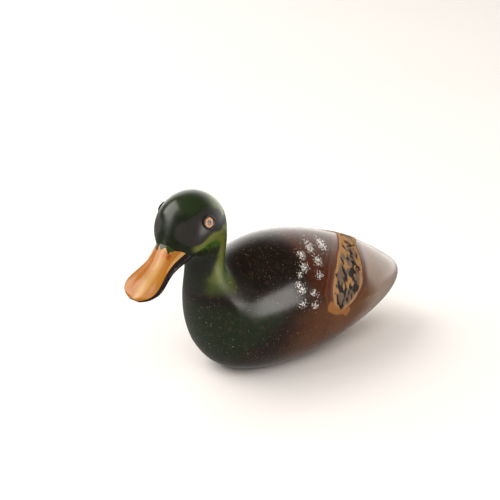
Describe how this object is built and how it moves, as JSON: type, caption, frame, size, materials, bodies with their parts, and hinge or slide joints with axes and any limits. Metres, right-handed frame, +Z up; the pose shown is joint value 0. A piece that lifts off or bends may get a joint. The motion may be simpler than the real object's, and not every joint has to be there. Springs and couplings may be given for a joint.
{
  "type": "floating duck decoy",
  "caption": "Carved and painted wooden mallard drake decoy with a hollow body, set-in bill, glass eyes, a ballasted flat underside and a swinging D-ring for an anchor line.",
  "frame": {"origin": "on the flat underside, at the middle of the overall length and width", "axes": "+Z up; the duck faces -Y, its tail points along +Y, and its left side is +X"},
  "size_m": [0.1074, 0.3033, 0.1695],
  "materials": {
    "painted_body_wood": "green, chestnut and grey stains under gloss varnish, with a band of bare bark",
    "bottom_plate_wood": "stained and varnished",
    "painted_head_wood": "dark green stain under gloss varnish",
    "stained_bill_wood": "ochre stain under gloss varnish",
    "dowel_wood": "bare birch",
    "plated_steel": "zinc plated",
    "cast_lead": "as cast",
    "screw_brass": "turned, dulled",
    "tie_brass": "drawn wire, dulled",
    "eye_glass": "clear, fire polished",
    "iris_enamel": "amber enamel behind the glass",
    "pupil_enamel": "black enamel behind the glass",
    "eye_putty": "painted putty under gloss varnish"
  },
  "bodies": {
    "root": {"ballast_screws": "screw_brass", "ballast_weight": "cast_lead", "bill": "stained_bill_wood", "bill_pin": "dowel_wood", "body_shell": "painted_body_wood", "bottom_plate": "bottom_plate_wood", "bottom_plate_screws": "screw_brass", "head": "painted_head_wood", "left_eye_glass": "eye_glass", "left_eye_iris": "iris_enamel", "left_eye_pupil": "pupil_enamel", "left_eye_putty": "eye_putty", "left_eye_stem": "plated_steel", "line_staple": "tie_brass", "neck_dowels": "dowel_wood", "neck_lag_screw": "plated_steel", "neck_washer": "plated_steel", "right_eye_glass": "eye_glass", "right_eye_iris": "iris_enamel", "right_eye_pupil": "pupil_enamel", "right_eye_putty": "eye_putty", "right_eye_stem": "plated_steel"},
    "anchor_ring": {"line_ring": "tie_brass"}
  },
  "joints": [
    {"name": "ring_swing", "type": "hinge", "parent": "root", "child": "anchor_ring", "pos_m": [0, -0.038, 0.0035], "axis": [-1, 0, 0], "range_deg": [-8, 110]}
  ]
}
